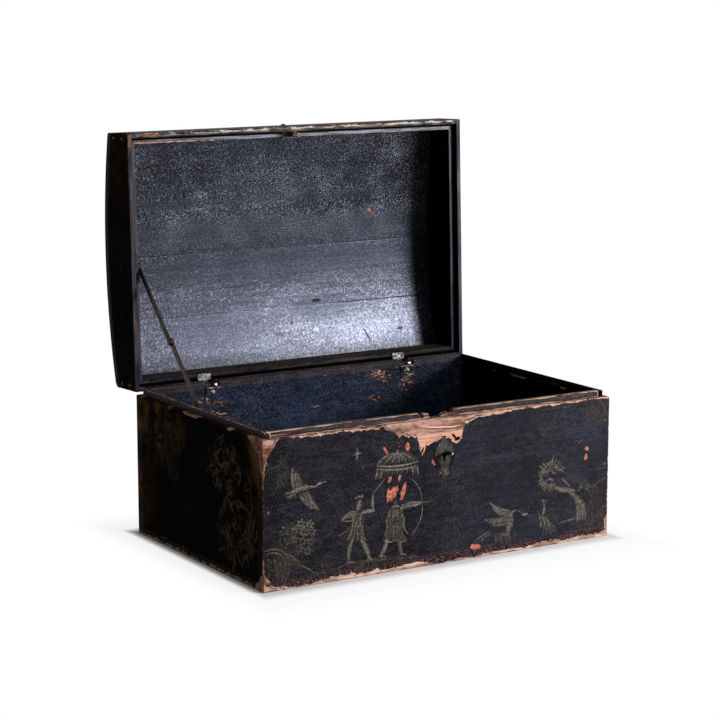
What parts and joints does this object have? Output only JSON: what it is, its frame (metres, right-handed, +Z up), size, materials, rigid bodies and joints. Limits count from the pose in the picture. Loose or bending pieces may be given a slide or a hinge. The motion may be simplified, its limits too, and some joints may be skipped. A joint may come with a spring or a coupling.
{
  "type": "coffer chest",
  "caption": "Low lacquered coffer with a domed lid that drops over a stepped rim, strap hinges, a folding side stay and a sliding-bolt lock",
  "frame": {"origin": "middle of the underside of the box, on the floor", "axes": "X runs from the left end to the right end, Y from the front to the back, Z up; the lid stands open at rest"},
  "size_m": [0.6, 0.4898, 0.6124],
  "materials": {
    "box_lacquer": "aged black lacquer on softwood, faded gilt ornament, worn edges",
    "lid_lacquer": "aged black lacquer on softwood, fine pale speckle inside",
    "rim_wood": "worn black lacquer on softwood",
    "hinge_iron": "worn grey iron",
    "stay_iron": "dark brown wrought iron",
    "lock_iron": "dark wrought iron",
    "keyhole_metal": "dull grey worn plate",
    "nail_iron": "forged, lacquered over"
  },
  "bodies": {
    "box": {"back_board": "box_lacquer", "back_lip_left": "rim_wood", "back_lip_middle": "rim_wood", "back_lip_right": "rim_wood", "bottom_board": "box_lacquer", "bottom_nails": "nail_iron", "box_corner_nails": "nail_iron", "escutcheon": "keyhole_metal", "escutcheon_pins": "keyhole_metal", "front_board": "box_lacquer", "front_lip_left": "rim_wood", "front_lip_right": "rim_wood", "hinge_rivets": "hinge_iron", "left_end_board": "box_lacquer", "left_hinge_box_leaf": "hinge_iron", "left_hinge_pin": "hinge_iron", "left_lip": "rim_wood", "lock_keeper": "lock_iron", "lock_nails": "nail_iron", "lock_plate": "lock_iron", "lock_spring": "lock_iron", "lock_stud": "lock_iron", "lock_top_plate": "lock_iron", "right_end_board": "box_lacquer", "right_hinge_box_leaf": "hinge_iron", "right_hinge_pin": "hinge_iron", "right_lip": "rim_wood", "stay_foot_nails": "nail_iron", "stay_foot_plate": "stay_iron"},
    "lid": {"hinge_nails": "hinge_iron", "left_hinge_lid_leaf": "hinge_iron", "lid_back_rail": "lid_lacquer", "lid_end_nails": "nail_iron", "lid_front_rail": "lid_lacquer", "lid_left_end": "lid_lacquer", "lid_right_end": "lid_lacquer", "lid_staple": "lock_iron", "lid_stave_1": "lid_lacquer", "lid_stave_2": "lid_lacquer", "lid_stave_3": "lid_lacquer", "lid_stave_4": "lid_lacquer", "right_hinge_lid_leaf": "hinge_iron", "staple_nails": "nail_iron", "staple_rivet": "lock_iron", "stave_nails": "nail_iron", "stay_lid_nails": "nail_iron", "stay_lid_pin": "stay_iron", "stay_lid_plate": "stay_iron"},
    "stay_upper": {"stay_upper_bar": "stay_iron", "stay_knee_rivet": "stay_iron"},
    "stay_lower": {"stay_lower_bar": "stay_iron", "stay_foot_rivet": "stay_iron"},
    "bolt": {"lock_bolt": "lock_iron"}
  },
  "joints": [
    {"name": "lid_hinge", "type": "hinge", "parent": "box", "child": "lid", "pos_m": [0, 0.1968, 0.217], "axis": [1, 0, 0], "range_deg": [0, 92]},
    {"name": "stay_lid_pivot", "type": "hinge", "parent": "lid", "child": "stay_upper", "pos_m": [-0.2805, 0.21845, 0.40716], "axis": [1, 0, 0], "range_deg": [-108.5, 0]},
    {"name": "stay_knee", "type": "hinge", "parent": "stay_upper", "child": "stay_lower", "pos_m": [-0.2805, 0.11822, 0.30558], "axis": [1, 0, 0], "range_deg": [0, 168.5]},
    {"name": "bolt_slide", "type": "slide", "parent": "box", "child": "bolt", "axis": [-1, 0, 0], "range_m": [0, 0.01]}
  ],
  "couplings": [
    {"joint": "stay_lid_pivot", "follows": "lid_hinge", "ratio": -1.1746},
    {"joint": "stay_knee", "follows": "lid_hinge", "ratio": 1.8233}
  ]
}
